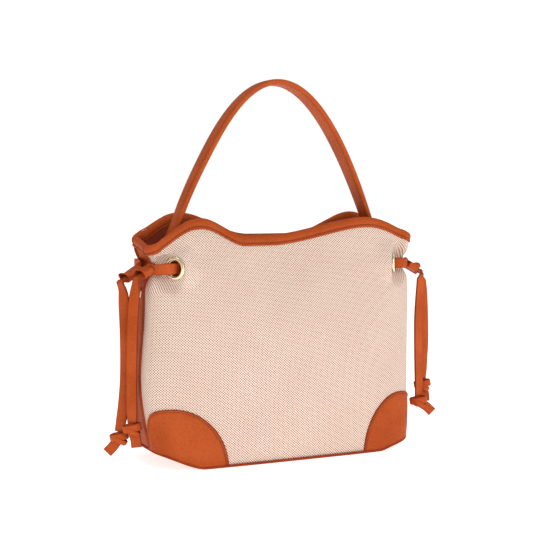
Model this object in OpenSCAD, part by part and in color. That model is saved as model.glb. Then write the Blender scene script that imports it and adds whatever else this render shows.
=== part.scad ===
// Small canvas and leather bucket bag with a cinched mouth.
// Origin under the middle of the base, +Z up, the front faces -Y, the left gusset is at -X.

/* [Body] */
// Width of the body from gusset to gusset, at its widest
body_w = 286; // [270:1:300]
// Depth of the base, front to back
base_d = 104; // [96:1:112]
// Depth of the mouth at the two humps of the rim
mouth_d = 49; // [44:1:54]
// Height of the rim at the front humps
hump_h = 233.5; // [228:0.5:240]
// Height of the rim at its middle dip
dip_h = 216.8; // [212:0.2:222]
// Height of the rim at the gussets
end_h = 216.8; // [212:0.2:222]
// How far the ends of the base turn up off the floor
end_lift = 14; // [8:1:20]
// How far the lace pulls each gusset in
pinch = 7; // [2:1:8]
// How much higher the back of the rim stands at its humps
back_rise = 5; // [0:0.5:6]

/* [Sheets] */
// Thickness of the canvas
canvas_t = 1.8; // [1.4:0.1:2]
// Thickness of the lining
lining_t = 0.9; // [0.6:0.1:1]
// Thickness of the leather patches and bindings
trim_t = 1.2; // [0.8:0.1:1.4]
// Height of the rim binding
binding_h = 8.7; // [7:0.1:11]
// Diameter of the piping in the side seams
piping_d = 2.3; // [1.8:0.1:2.4]

/* [Handle] */
// Height of the middle of the strap at its top
handle_top = 368.6; // [350:0.2:385]
// Width of the strap in the middle
strap_w = 24; // [18:0.5:26]
// Width of the strap at its ends
strap_end_w = 18; // [15:0.5:19]
// Thickness of the strap
strap_t = 5.5; // [4.5:0.1:6]
// Height of the rivets that the handle swings on
rivet_z = 164; // [160:1:166]
// Diameter of the rivet shank
shank_d = 3.2; // [2.8:0.1:3.6]
// Diameter of the rivet's cap
cap_d = 10; // [8:0.5:11]

/* [Lacing] */
// Height of the eyelets
eyelet_z = 188; // [186:1:190]
// Distance of each eyelet from the middle
eyelet_x = 118.5; // [116:0.5:120]
// Outer diameter of an eyelet
eyelet_d = 22; // [20:0.5:23]
// Diameter of the hole in an eyelet
eyelet_hole = 14; // [13:0.5:15]
// How far the lace turns each eyelet toward its gusset, in degrees
eyelet_yaw = 54; // [34:1:56]
// Width of the lace
lace_w = 10.5; // [8.5:0.1:11]
// Thickness of the lace
lace_t = 2.4; // [2:0.1:2.6]

/* [Hidden] */

leather = "#BC5226";
leather_dark = "#8C3A1C";
canvas = "#E6C8B4";
cloth = "#5A2418";
brass = "#E2CE94";

// Clearance between stacked sheets, and the depths of the layers inward from the canvas face
gap = 0.3;
lining_out = -(canvas_t + gap);
lining_in = lining_out - lining_t;
// Half the width of the seam that the piping fills
seam_half = piping_d / 2 + 0.15;
gusset_t = 1.4;
base_t = 1.8;
board_t = 2.4;
wall_start = base_t + 0.2;
floor_z = base_t + board_t + 0.7;
lining_start = floor_z + 1.3;
flat_x = 95;
// Rows of each wall up to just under the eyelets, and in all
low_rows = 8;
rows = 14;

function ease(t) = let(c = min(1, max(0, t))) c * c * (3 - 2 * c);

// ---- the form of the body ----

// Half the width at height z: the base ends tuck in and the lace pinches the gussets
function half_w(z) = body_w / 2 - 6 * (1 - sin(90 * min(1, z / 90)))
    - pinch * exp(-pow((z - eyelet_z) / 12, 2));
// Half the width of a gusset at height z
function gusset_y(z) = 12 + 12 * max(0, 1 - z / eyelet_z);
// Distance of the front face from the middle plane at height z
function face_y(z) = mouth_d / 2 + (base_d - mouth_d) / 2 * (1 - pow(min(1, z / hump_h), 3.3));
// The snap draws the two faces together near the middle of the mouth
function snap_draw(x, z) = 10 * exp(-pow(x / 45, 2)) * ease((z - 120) / 90);
// How square the plan is: nearly a box at the base, nearly an oval at the mouth
function squareness(z) = 4 - 1.4 * min(1, z / eyelet_z);
function reach(phi, n) = pow(pow(abs(cos(phi)), n) + pow(abs(sin(phi)), n), -1 / n);
function lift(x) = end_lift * pow(max(0, (abs(x) - flat_x) / 44), 1.3);
// Distance of the humps from the middle, and the two ends of the level dip between them
front_rim = [92, -46, -18];
back_rim = [100, -22, 30];
// Height of the front or back rim at x
function rim(side, x) = let(r = side < 0 ? back_rim : front_rim, high = hump_h + (side < 0 ? back_rise : 0))
    abs(x) > r[0] ? end_h + (high - end_h) * cos(90 * min(1, (abs(x) - r[0]) / (half_top - r[0]))) :
    x < r[1] ? dip_h + (high - dip_h) * ease((r[1] - x) / (r[1] + r[0])) :
    x < r[2] ? dip_h : dip_h + (high - dip_h) * ease((x - r[2]) / (r[0] - r[2]));
half_top = body_w / 2;

// Direction across an eyelet, for the front eyelet on side s (-1 left, 1 right)
function eyelet_dir(s) = [s * sin(eyelet_yaw), -cos(eyelet_yaw), 0];
function seam_y(z) = gusset_y(z) + seam_half;
function eyelet_at(s) = let(z = eyelet_z, n = squareness(z), d = face_y(z) - seam_y(z),
    across = eyelet_x / half_w(z)) [s * eyelet_x, -(seam_y(z) + d * pow(1 - pow(across, n), 1 / n)), z];
// The wall lies flat in the eyelet's plane close to the eyelet
function flatten_at(p, d, s) = let(c = eyelet_at(s), dir = eyelet_dir(s),
    w = 1 - ease((norm(p - c) - 15) / 11)) p - w * ((p - c) * dir - d) * dir;
// A point of the front wall: phi runs from 0 at the right seam to 180 at the left one,
// d is the distance out from the canvas face
function wall(phi, z, d) = let(n = squareness(z), r = reach(phi, n), x = (half_w(z) + d) * r * cos(phi),
    y = -(seam_y(z) + (face_y(z) - snap_draw(x, z) - seam_y(z) + d) * r * sin(phi)))
    flatten_at(flatten_at([x, y, z], d, -1), d, 1);
// The same point of the front or back wall: side is 1 at the front, -1 at the back
function wall_on(side, phi, z, d) = let(p = wall(phi, z, d)) [p.x, side * p.y, p.z];
// How far along the rim, and how far along the base, the wall at phi stands
function rim_x(phi) = half_top * reach(phi, 3) * cos(phi);
function base_x(phi) = half_w(2) * reach(phi, squareness(2)) * cos(phi);
function bottom_at(phi) = lift(base_x(phi)) + wall_start;
function top_at(side, phi) = rim(side, rim_x(phi));
// Height of row i of a wall. The rows are closer together at the eyelets and the last one is the part
// under the binding; every layer uses the same rows and columns, so that they stay parallel
function row_z(side, phi, i) = let(low = bottom_at(phi), below = eyelet_z - 18)
    i <= low_rows ? low + (below - low) * i / low_rows :
    i < rows - 1 ? below + 9 * (i - low_rows) :
    i == rows - 1 ? top_at(side, phi) - binding_h : top_at(side, phi);
// The columns are closer together at the eyelets too
quarter_phis = concat([0, 5, 10, 15, 20], spread(23, 50, 9), [55, 60, 65, 70, 75, 80, 85]);
all_phis = concat(quarter_phis, [90], [for (i = [len(quarter_phis) - 1:-1:0]) 180 - quarter_phis[i]]);

// ---- building blocks ----

// A closed solid from rings of points of the same length
module skin(rings) {
    n = len(rings[0]);
    m = len(rings);
    polyhedron(points = [for (r = rings) for (p = r) p], faces = concat(
        [[for (j = [0:n - 1]) j]], [[for (j = [n - 1:-1:0]) (m - 1) * n + j]],
        [for (i = [0:m - 2]) for (j = [0:n - 1]) let(a = i * n + j, b = i * n + (j + 1) % n)
            each [[a, a + n, b], [b, a + n, b + n]]]), convexity = 8);
}

// A sheet of a given thickness between an outer and an inner grid of points
module sheet(outer, inner) {
    m = len(outer);
    n = len(outer[0]);
    k = m * n;
    function quad(a, b, c, d) = [[a, b, c], [a, c, d]];
    polyhedron(points = concat([for (r = outer) for (p = r) p], [for (r = inner) for (p = r) p]),
        faces = concat(
            [for (i = [0:m - 2]) for (j = [0:n - 2]) let(a = i * n + j)
                each quad(a, a + n, a + n + 1, a + 1)],
            [for (i = [0:m - 2]) for (j = [0:n - 2]) let(a = k + i * n + j)
                each quad(a, a + 1, a + n + 1, a + n)],
            [for (i = [0:m - 2]) each quad((i + 1) * n, i * n, k + i * n, k + (i + 1) * n)],
            [for (i = [0:m - 2]) let(e = n - 1)
                each quad(i * n + e, (i + 1) * n + e, k + (i + 1) * n + e, k + i * n + e)],
            [for (j = [0:n - 2]) each quad(j, j + 1, k + j + 1, k + j)],
            [for (j = [0:n - 2]) let(e = (m - 1) * n)
                each quad(e + j + 1, e + j, k + e + j, k + e + j + 1)]),
        convexity = 8);
}

// The wall of a tube between outer and inner rings, open at both ends
module tube_wall(outer, inner) {
    n = len(outer[0]);
    m = len(outer);
    k = m * n;
    function band(a, b, c, d) = [[a, b, c], [b, d, c]];
    polyhedron(points = concat([for (r = outer) for (p = r) p], [for (r = inner) for (p = r) p]),
        faces = concat(
            [for (i = [0:m - 2]) for (j = [0:n - 1]) let(a = i * n + j, b = i * n + (j + 1) % n)
                each band(a, a + n, b, b + n)],
            [for (i = [0:m - 2]) for (j = [0:n - 1]) let(a = k + i * n + j, b = k + i * n + (j + 1) % n)
                each band(b, b + n, a, a + n)],
            [for (j = [0:n - 1]) let(b = (j + 1) % n) each band(j, b, k + j, k + b)],
            [for (j = [0:n - 1]) let(b = (j + 1) % n, e = (m - 1) * n)
                each band(e + b, e + j, k + e + b, k + e + j)]),
        convexity = 8);
}

// A layer of wall between depths d0 and d1, where z_at(phi, i) gives the height of row i
module wall_layer(side, phis, count, d0, d1, z_at) {
    function grid(d) = [for (phi = phis) [for (i = [0:count]) wall_on(side, phi, z_at(phi, i), d)]];
    sheet(grid(side < 0 ? d0 : d1), grid(side < 0 ? d1 : d0));
}

function spread(a, b, n) = [for (i = [0:n]) a + (b - a) * i / n];

// Frames along a route: the width direction stays as close as it can to the one given
function along(pts, i) = let(a = pts[max(0, i - 1)], b = pts[min(len(pts) - 1, i + 1)])
    (b - a) / norm(b - a);
function across(t, w) = let(v = w - (w * t) * t) v / norm(v);
// The section of a flat lace or strap with eased edges, for a width and a thickness of 1
flat_section = [[-0.5, -0.2], [-0.42, -0.5], [0.42, -0.5], [0.5, -0.2], [0.5, 0.2], [0.42, 0.5],
    [-0.42, 0.5], [-0.5, 0.2]];
// A flat lace with rounded edges along a route; wide gives the width direction at each point
module flat_lace(pts, wide, w, t) {
    skin([for (i = [0:len(pts) - 1]) let(dir = along(pts, i), u = across(dir, wide[i]), v = cross(dir, u))
        [for (k = flat_section) pts[i] + u * k.x * w + v * k.y * t]]);
}

module rod(pts, d) {
    skin([for (i = [0:len(pts) - 1]) let(dir = along(pts, i), u = across(dir, [0.3, 0.2, 1]),
        v = cross(dir, u)) [for (a = [0:60:300]) pts[i] + (u * cos(a) + v * sin(a)) * d / 2]]);
}

// Everything on one side of the bag is drawn for the right and mirrored for the left
module on_side(s) {
    if (s > 0) children(); else mirror([1, 0, 0]) children();
}

// ---- the walls ----

module body_panel(side) {
    color(canvas) difference() {
        wall_layer(side, all_phis, rows, -canvas_t, 0, function(phi, i) row_z(side, phi, i));
        eyelet_bores(side);
    }
}

module eyelet_bores(side) {
    for (s = [-1, 1]) at_eyelet(side, s) cylinder(h = 30, r = eyelet_hole / 2 + 1.2, center = true, $fn = 48);
}

// Puts +Z on the way out of an eyelet, with the origin on the canvas face
module at_eyelet(side, s) {
    c = eyelet_at(s);
    translate([c.x, side * c.y, c.z]) rotate([0, 0, side * s * eyelet_yaw + (side > 0 ? 0 : 180)])
        rotate([90, 0, 0]) children();
}

module gusset(s) {
    color(leather) difference() {
        on_side(s) gusset_sheet(-gusset_t, 0, seam_half, wall_start, 0);
        rivet_bore(s);
    }
}

// A flat strip of the side between two depths, clear of the seams by inset
module gusset_sheet(d0, d1, inset, start, below) {
    zs = spread(lift(half_w(20)) + start, end_h - below, 18);
    sheet([for (k = [1, -1]) [for (z = zs) [half_w(z) + d1, k * (gusset_y(z) - inset), z]]],
        [for (k = [1, -1]) [for (z = zs) [half_w(z) + d0, k * (gusset_y(z) - inset), z]]]);
}

module rivet_bore(s) {
    translate([s * half_top, 0, rivet_z]) rotate([0, 90, 0])
        cylinder(h = 40, d = shank_d + 0.2, center = true, $fn = 32);
}

module wall_lining(side) {
    color(cloth) difference() {
        wall_layer(side, all_phis, rows, lining_in, lining_out,
            function(phi, i) max(bottom_at(phi) + lining_start - wall_start, row_z(side, phi, i)));
        eyelet_bores(side);
    }
}

module side_lining(s) {
    color(cloth) difference() {
        on_side(s) gusset_sheet(lining_in, lining_out, seam_half, lining_start, 0.5);
        rivet_bore(s);
    }
}

// ---- the base ----

// A plate over the plan of the base, drawn in from the canvas face by inset
module base_plate(inset, z0, z1) {
    function grid(z) = [for (phi = all_phis) let(p = wall(phi, bottom_at(phi), -inset), h = lift(base_x(phi)) + z)
        [[p.x, p.y, h], [p.x, -p.y, h]]];
    sheet(grid(z1), grid(z0));
}

module base_panel() { color(leather_dark) base_plate(0.6, 0, base_t); }

module base_board() {
    color("#4A3A30") translate([0, 0, base_t + 0.2]) linear_extrude(board_t)
        offset(r = 16, $fn = 32) square([2 * flat_x - 50, base_d - 44], center = true);
}

module floor_lining() { color(cloth) base_plate(4.4, floor_z, floor_z + lining_t); }

module base_piping() {
    loop = [for (phi = all_phis) let(p = wall(phi, bottom_at(phi), 1.15)) [p.x, p.y, lift(base_x(phi)) + 1.2]];
    back = [for (i = [len(loop) - 1:-1:0]) [loop[i].x, -loop[i].y, loop[i].z]];
    ring = concat(loop, back);
    n = len(ring);
    color(leather_dark) torus([for (i = [0:n - 1]) let(a = ring[(i + n - 1) % n], b = ring[(i + 1) % n],
        dir = (b - a) / norm(b - a), out = across(dir, [0, 0, 1]), v = cross(dir, out))
        [for (k = [0:60:300]) ring[i] + (out * cos(k) + v * sin(k)) * 1.1]]);
}

// A closed loop of rings, joined end to end
module torus(rings) {
    n = len(rings[0]);
    m = len(rings);
    polyhedron(points = [for (r = rings) for (p = r) p], faces =
        [for (i = [0:m - 1]) for (j = [0:n - 1]) let(a = i * n + j, b = i * n + (j + 1) % n,
            c = ((i + 1) % m) * n + j, d = ((i + 1) % m) * n + (j + 1) % n)
            each [[a, c, b], [b, c, d]]], convexity = 8);
}

// ---- leather trim on the walls ----

patch_h = 58;
patch_x = 122;
patch_reach = 48.5;
// Angle of the wall at distance x from the middle, near the base
function phi_at(x) = let(n = squareness(20), a = min(0.999, x / half_w(20)))
    atan2(pow(1 - pow(a, n), 1 / n), a);

module corner_patch(side, s) {
    steps = 9;
    peak = phi_at(patch_x);
    to_seam = [for (i = [0:steps - 1]) [peak * i / steps, 0.8 * (1 - i / steps)]];
    inward = [for (i = [0:steps]) let(q = sin(90 * i / steps)) [phi_at(patch_x - patch_reach * q), q]];
    stations = concat(to_seam, inward);
    phis = [for (v = stations) v[0]];
    function height(phi) = let(q = lookup(phi, stations)) patch_h * sqrt(max(0, 1 - q * q));
    color(leather) on_side(s) wall_layer(side, phis, 5, 0.15, 0.15 + trim_t,
        function(phi, i) let(low = bottom_at(phi) + 1, high = max(low + 1.6, height(phi)))
            low + (high - low) * i / 5);
}

// The folded section of a binding: depth from the canvas face, height from the rim's edge
binding_gap = 0.5;
outer_d = binding_gap;
inner_d = lining_in - binding_gap;
binding_face = [[outer_d + trim_t, -binding_h], [outer_d + trim_t, 0.4], [outer_d + 0.1, 1.5],
    [inner_d - 0.1, 1.5], [inner_d - trim_t, 0.4], [inner_d - trim_t, -binding_h]];
binding_back = [[outer_d, -binding_h], [outer_d, -0.3], [outer_d - 0.2, 0.15],
    [inner_d + 0.2, 0.15], [inner_d, -0.3], [inner_d, -binding_h]];

module rim_binding(side) {
    phis = side > 0 ? all_phis : [for (i = [len(all_phis) - 1:-1:0]) all_phis[i]];
    function grid(section) = [for (phi = phis) let(top = top_at(side, phi))
        [for (k = section) wall_on(side, phi, top + k.y, k.x)]];
    color(leather) sheet(grid(binding_face), grid(binding_back));
}

module end_binding(s) {
    function grid(section) = [for (k = [1, -1]) [for (c = section) let(z = end_h + c.y)
        [half_w(z) + c.x, k * (gusset_y(z) - seam_half + 0.9), z]]];
    color(leather) on_side(s) sheet(grid(binding_face), grid(binding_back));
}

module seam_piping(s) {
    color(leather_dark) on_side(s) for (k = [-1, 1])
        rod([for (z = spread(lift(half_w(20)) + wall_start + 0.4, end_h - binding_h - 1, 20))
            [half_w(z) - 0.2, k * gusset_y(z), z]], piping_d - 0.1);
}

module slip_pocket() {
    color(cloth) wall_layer(-1, spread(60, 120, 12), 8, lining_in - 1.3, lining_in - 0.5,
        function(phi, i) 70 + 95 * i / 8);
}

// ---- the snap that closes the mouth ----

snap_z = 192;
module snap_half(side) {
    below = wall_on(side, 90, snap_z - 9, lining_in);
    above = wall_on(side, 90, snap_z + 9, lining_in);
    // The snap stands on the slope of the wall, leaning with it
    color(brass) translate([0, (below.y + above.y) / 2 + side * 0.9, snap_z])
        rotate([side * -(90 + atan2(abs(above.y - below.y), 18)), 0, 0]) union() {
        cylinder(h = 2.4, d = 18, $fn = 48);
        if (side > 0) cylinder(h = 4.4, d = 7, $fn = 32);
        else difference() {
            cylinder(h = 4.6, d = 13, $fn = 48);
            translate([0, 0, 2.4]) cylinder(h = 5, d = 7.6, $fn = 32);
        }
    }
}

// ---- the handle ----

// Half of the strap's middle line: an arch to below the rim, then down flat onto the gusset
arch_drop = 0.0127;
arch_end = 104;
handle_half = concat([for (x = spread(0, arch_end, 14)) [x, handle_top - arch_drop * x * x]],
    [[111, 215.5], [118, 199], [124.5, 186], [131, 176], [135, 170.3], [135.6, 168.8], [135.6, 150]]);
handle_line = concat([for (i = [len(handle_half) - 1:-1:1]) [-handle_half[i].x, 0, handle_half[i].y]],
    [for (p = handle_half) [p.x, 0, p.y]]);
function strap_w_at(z) = strap_end_w + (strap_w - strap_end_w) * ease((z - 200) / 120);
function strap_half_t(z) = 1.9 + (strap_t / 2 - 1.9) * ease((z - 172) / 20);

// Rings of the strap's section along the handle, shrunk by inset on every face
function strap_rings(inset) = [for (i = [0:len(handle_line) - 1])
    let(out = cross(along(handle_line, i), [0, 1, 0]), t = 2 * (strap_half_t(handle_line[i].z) - inset))
    [for (k = flat_section) handle_line[i] + [0, k.x * (strap_w_at(handle_line[i].z) - 2 * inset), 0]
        + out * k.y * t]];
cover_t = 1.1;

module handle_strap() {
    color(leather) difference() {
        tube_wall(strap_rings(0), strap_rings(cover_t));
        for (s = [-1, 1]) rivet_bore(s);
    }
}

module handle_core() {
    color("#D8C8B0") difference() {
        skin(strap_rings(cover_t + 0.2));
        for (s = [-1, 1]) rivet_bore(s);
    }
}

// Distances out from the middle at the height of the rivets
rivet_face = half_w(rivet_z);
washer_face = rivet_face + lining_in - 0.15;
post_face = 135.6 - 1.9 - 0.3;

module rivet(s) {
    color(brass) on_side(s) translate([rivet_face + 0.4, 0, rivet_z]) rotate([0, 90, 0]) {
        translate([0, 0, -(rivet_face + 0.4 - post_face) - 1]) cylinder(h = 11, d = shank_d, $fn = 32);
        rotate_extrude($fn = 48) polygon([[0, 0], [cap_d / 2, 0], [cap_d / 2, 0.6],
            for (a = [10:16:74]) [cap_d / 2 * cos(a), 0.6 + 1.6 * sin(a)], [1.2, 2.1], [0, 1.7]]);
    }
}

module rivet_post(s) {
    color(brass) on_side(s) translate([post_face, 0, rivet_z]) rotate([0, -90, 0]) difference() {
        rotate_extrude($fn = 48) polygon([[0, 0], [4, 0], [4, 0.8], [3.2, 1.8], [0, 2.2]]);
        translate([0, 0, -1]) cylinder(h = 2.05, d = shank_d, $fn = 32);
    }
}

module anchor_washer(s) {
    color(leather) on_side(s) translate([washer_face - 1.8, 0, rivet_z]) rotate([0, 90, 0]) difference() {
        cylinder(h = 0.8, d = 11, $fn = 48);
        translate([0, 0, -1]) cylinder(h = 3, d = shank_d + 0.2, $fn = 32);
    }
}

// ---- the eyelets ----

module eyelet(side, s) {
    hole = eyelet_hole / 2;
    color(brass) at_eyelet(side, s) rotate_extrude($fn = 64)
        polygon([[hole, -4.8], [hole + 0.9, -4.8], [hole + 0.9, 0.7], [eyelet_d / 2, 0.7],
            [eyelet_d / 2, 1], for (a = [20:20:160]) [hole + 2 + 2 * cos(a), 1 + 1.5 * sin(a)],
            [hole, 1]]);
}

module eyelet_washer(side, s) {
    color(brass) at_eyelet(side, s) translate([0, 0, lining_in - 1.5]) difference() {
        cylinder(h = 0.8, d = eyelet_d - 3, $fn = 64);
        translate([0, 0, -1]) cylinder(h = 3, d = eyelet_hole + 1.9, $fn = 64);
    }
}

// ---- the lacing, drawn for the right side ----

// Middle of the front channel's mouth, the way the laces leave it, and the way from front to back
keeper_yaw = 14;
keeper_dip = 30;
keeper_len = 9;
// The back channel reaches further out than the front one
back_more = 8;
keeper_dir = [cos(keeper_yaw) * cos(keeper_dip), -sin(keeper_yaw) * cos(keeper_dip), -sin(keeper_dip)];
keeper_wide = [sin(keeper_yaw), cos(keeper_yaw), 0];
keeper_up = cross(keeper_dir, keeper_wide);
left_mouth = [149.5, -20.5, 181.8];
right_mouth = left_mouth + 2 * keeper_dir;
channel_gap = 18;
channel_w = 12.6;
channel_t = 3.8;
fold_t = 1.2;
keeper_slide = 4;
function mouth(s) = s < 0 ? left_mouth : right_mouth;
function own_reach(k) = k > 0 ? back_more : 0;
// A point on the middle line of the front (k = -1) or back (k = 1) channel, measured from its mouth
function in_channel(s, k, away) = mouth(s) + (k > 0 ? channel_gap : 0) * keeper_wide
    + (away + own_reach(k)) * keeper_dir;

module channel_shape(grow) {
    offset(r = 1.4 + grow, $fn = 32) square([channel_w - 2.8, channel_t - 2.8], center = true);
}

module along_channels(over) {
    for (k = [-1, 1]) translate([k > 0 ? channel_gap : 0, 0, -keeper_len - over])
        linear_extrude(keeper_len + own_reach(k) + 2 * over) children();
}

// The sliding keeper: one strip of leather folded into two loops side by side
module keeper(s) {
    color(leather) on_side(s) translate(mouth(s)) multmatrix([
        [keeper_wide.x, keeper_up.x, keeper_dir.x, 0], [keeper_wide.y, keeper_up.y, keeper_dir.y, 0],
        [keeper_wide.z, keeper_up.z, keeper_dir.z, 0], [0, 0, 0, 1]]) difference() {
            union() {
                along_channels(0) channel_shape(fold_t);
                translate([channel_gap / 2, 0, -keeper_len / 2]) cube([5, 2.4, keeper_len], center = true);
            }
            along_channels(1) channel_shape(0);
        }
}

// Route of the lace inside the mouth, out of each eyelet and round to the keeper
lace_out = eyelet_at(1);
lace_dir = eyelet_dir(1);
function through_eyelet(k, away) = let(p = lace_out + away * lace_dir) [p.x, -k * p.y, p.z];
front_run = [[105, 0, 188], [105.5, -8, 188], [107.5, -15, 188], through_eyelet(-1, -7),
    through_eyelet(-1, -2), through_eyelet(-1, 3.5), [128, -33, 188.3], [134.5, -27.5, 188.6],
    [137.4, -21.5, 188.8]];
back_run = [[105.5, 8, 188], [107.5, 15, 188], through_eyelet(1, -7), through_eyelet(1, -2),
    through_eyelet(1, 3.5), [129, 34.5, 189], [137, 29, 190], [140.6, 20, 190.5], [140.6, 9, 190.4]];
lace_end = keeper_slide + 0.5;

// A smooth curve through a list of points, with an extra point in each gap
function between(p, i, t) = let(a = p[max(0, i - 1)], b = p[i], c = p[i + 1], d = p[min(len(p) - 1, i + 2)])
    0.5 * (2 * b + (c - a) * t + (2 * a - 5 * b + 4 * c - d) * t * t + (3 * b - a - 3 * c + d) * t * t * t);
function smoothed(p) = concat([for (i = [0:len(p) - 2]) for (t = [0, 0.5]) between(p, i, t)],
    [p[len(p) - 1]]);

module side_lace(s) {
    // Distances along a channel from just behind it to the lace's joint, and the turn at each
    function run_in(k) = let(back = -keeper_len - own_reach(k)) [[back - 4.5, 90], [back - 3, 60],
        [back - 1.5, 20], [back - 0.5, 0], [back / 2, 0], [0, 0], [lace_end, 0]];
    function turned(a) = cos(a) * keeper_wide + [0, 0, sin(a)];
    front = [for (v = run_in(-1)) [in_channel(s, -1, v[0]), turned(v[1])]];
    back = [for (v = run_in(1)) [in_channel(s, 1, v[0]), turned(v[1])]];
    route = concat([for (i = [len(front) - 1:-1:0]) front[i]],
        [for (i = [len(front_run) - 1:-1:0]) [front_run[i], [0, 0, 1]]],
        [for (p = back_run) [p, [0, 0, 1]]], back);
    color(leather) on_side(s) flat_lace(smoothed([for (v = route) v[0]]), smoothed([for (v = route) v[1]]),
        lace_w, lace_t);
}

// Routes of the hanging ends from the keeper to the knots, in millimetres
strand_top = lace_end + 1.1;
left_front_route = [[155.6, -21.3, 168], [157, -19.8, 148], [157.8, -19.2, 128], [158.2, -18.2, 102],
    [158.2, -17.4, 77], [158, -16.8, 57], [157.5, -16, 43]];
left_back_route = [[162.5, -7, 165], [161.2, -6, 148], [160.2, -5, 128], [159.6, -4, 102], [160, -3, 77],
    [162.2, -2, 52], [165, 0, 32.5]];
right_front_route = [[155.8, -22.5, 168], [154.6, -22, 150], [154, -21, 128], [154.8, -20, 102],
    [156, -19, 77], [157.2, -18, 59], [157.5, -17, 46.5]];
right_back_route = [[168.5, -6, 163], [171.2, -4, 150], [173.5, -2, 128], [174.6, -1, 102], [174.2, 0, 80],
    [173.8, 1, 60.5]];
// The hanging ends turn their flat side to the front as they go down
left_hang = [sin(55), cos(55), 0];
right_hang = [sin(78), cos(78), 0];

module hanging_strand(s, k, route) {
    pts = concat([in_channel(s, k, strand_top), in_channel(s, k, strand_top + 2)], route);
    hang = s < 0 ? left_hang : right_hang;
    wide = [for (i = [0:len(pts) - 1]) let(t = min(1, i / 4)) (1 - t) * keeper_wide + t * hang];
    color(leather) on_side(s) flat_lace(pts, wide, lace_w, lace_t);
}

// A tied end: one turn of the lace round itself, with a cut tail that leans to one side
module knot(s, route, lean) {
    p = route[len(route) - 1];
    middle = [s * p.x, p.y, p.z - 0.3];
    color(leather) translate(middle) rotate([0, 0, -25]) {
        translate([0, 0, -6.5]) hull() for (k = [-1, 1]) translate([k * 3.5, 0, 0]) sphere(r = 6.2, $fn = 14);
        translate([0, 0, -8]) rotate([0, -lean, 0]) translate([-lace_w / 2, -lace_t / 2, -20])
            cube([lace_w, lace_t, 18]);
    }
}

body_panel(1);  // front_panel
body_panel(-1);  // back_panel
gusset(-1);  // left_gusset
gusset(1);  // right_gusset
base_panel();
base_board();
base_piping();
corner_patch(1, -1);  // front_left_patch
corner_patch(1, 1);  // front_right_patch
corner_patch(-1, -1);  // back_left_patch
corner_patch(-1, 1);  // back_right_patch
rim_binding(1);  // front_rim_binding
rim_binding(-1);  // back_rim_binding
end_binding(-1);  // left_rim_binding
end_binding(1);  // right_rim_binding
seam_piping(-1);  // left_seam_piping
seam_piping(1);  // right_seam_piping
wall_lining(1);  // front_lining
wall_lining(-1);  // back_lining
side_lining(-1);  // left_lining
side_lining(1);  // right_lining
floor_lining();
slip_pocket();
snap_half(1);  // front_snap
snap_half(-1);  // back_snap
handle_strap();
handle_core();
rivet(-1);  // left_rivet
rivet(1);  // right_rivet
rivet_post(-1);  // left_rivet_post
rivet_post(1);  // right_rivet_post
anchor_washer(-1);  // left_anchor_washer
anchor_washer(1);  // right_anchor_washer
eyelet(1, -1);  // front_left_eyelet
eyelet(1, 1);  // front_right_eyelet
eyelet(-1, -1);  // back_left_eyelet
eyelet(-1, 1);  // back_right_eyelet
eyelet_washer(1, -1);  // front_left_washer
eyelet_washer(1, 1);  // front_right_washer
eyelet_washer(-1, -1);  // back_left_washer
eyelet_washer(-1, 1);  // back_right_washer
keeper(-1);  // left_keeper
keeper(1);  // right_keeper
side_lace(-1);  // left_lace
side_lace(1);  // right_lace
hanging_strand(-1, -1, left_front_route);  // left_front_strand
hanging_strand(-1, 1, left_back_route);  // left_back_strand
hanging_strand(1, -1, right_front_route);  // right_front_strand
hanging_strand(1, 1, right_back_route);  // right_back_strand
knot(-1, left_front_route, 12);  // left_front_knot
knot(-1, left_back_route, -38);  // left_back_knot
knot(1, right_front_route, 52);  // right_front_knot
knot(1, right_back_route, 10);  // right_back_knot
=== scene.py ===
"""Bucket bag: canvas body, leather trim, laces and handle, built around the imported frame.
Shapes are worked out in millimetres and turned into metres when a mesh is made."""

import bmesh
import bpy
import numpy as np
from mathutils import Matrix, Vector


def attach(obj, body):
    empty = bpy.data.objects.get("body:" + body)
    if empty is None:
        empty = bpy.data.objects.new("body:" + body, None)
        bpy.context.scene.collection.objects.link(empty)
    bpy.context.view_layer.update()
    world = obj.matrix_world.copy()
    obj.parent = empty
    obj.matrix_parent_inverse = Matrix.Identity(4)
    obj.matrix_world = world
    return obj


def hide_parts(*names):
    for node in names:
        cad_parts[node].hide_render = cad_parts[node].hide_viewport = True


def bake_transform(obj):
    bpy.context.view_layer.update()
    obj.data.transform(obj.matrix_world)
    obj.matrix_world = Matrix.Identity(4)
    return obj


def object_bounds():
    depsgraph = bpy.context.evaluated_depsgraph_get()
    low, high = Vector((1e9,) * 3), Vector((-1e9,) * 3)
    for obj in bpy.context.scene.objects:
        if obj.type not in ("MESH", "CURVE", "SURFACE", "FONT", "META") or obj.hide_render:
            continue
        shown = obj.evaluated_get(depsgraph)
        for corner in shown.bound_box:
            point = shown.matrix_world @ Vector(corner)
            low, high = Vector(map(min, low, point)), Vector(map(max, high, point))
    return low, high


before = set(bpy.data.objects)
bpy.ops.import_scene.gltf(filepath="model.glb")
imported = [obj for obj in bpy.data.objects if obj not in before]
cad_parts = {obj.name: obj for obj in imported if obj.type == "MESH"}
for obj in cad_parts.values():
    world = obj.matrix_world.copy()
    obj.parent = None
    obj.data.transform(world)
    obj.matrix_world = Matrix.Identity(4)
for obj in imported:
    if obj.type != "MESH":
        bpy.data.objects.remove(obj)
cad_low, cad_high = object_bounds()

MM = 0.001
PI = np.pi


def deg(a):
    return a * PI / 180


# ---------------------------------------------------------------- camera

camera = bpy.data.objects.new("camera", bpy.data.cameras.new("camera"))
bpy.context.scene.collection.objects.link(camera)
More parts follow.
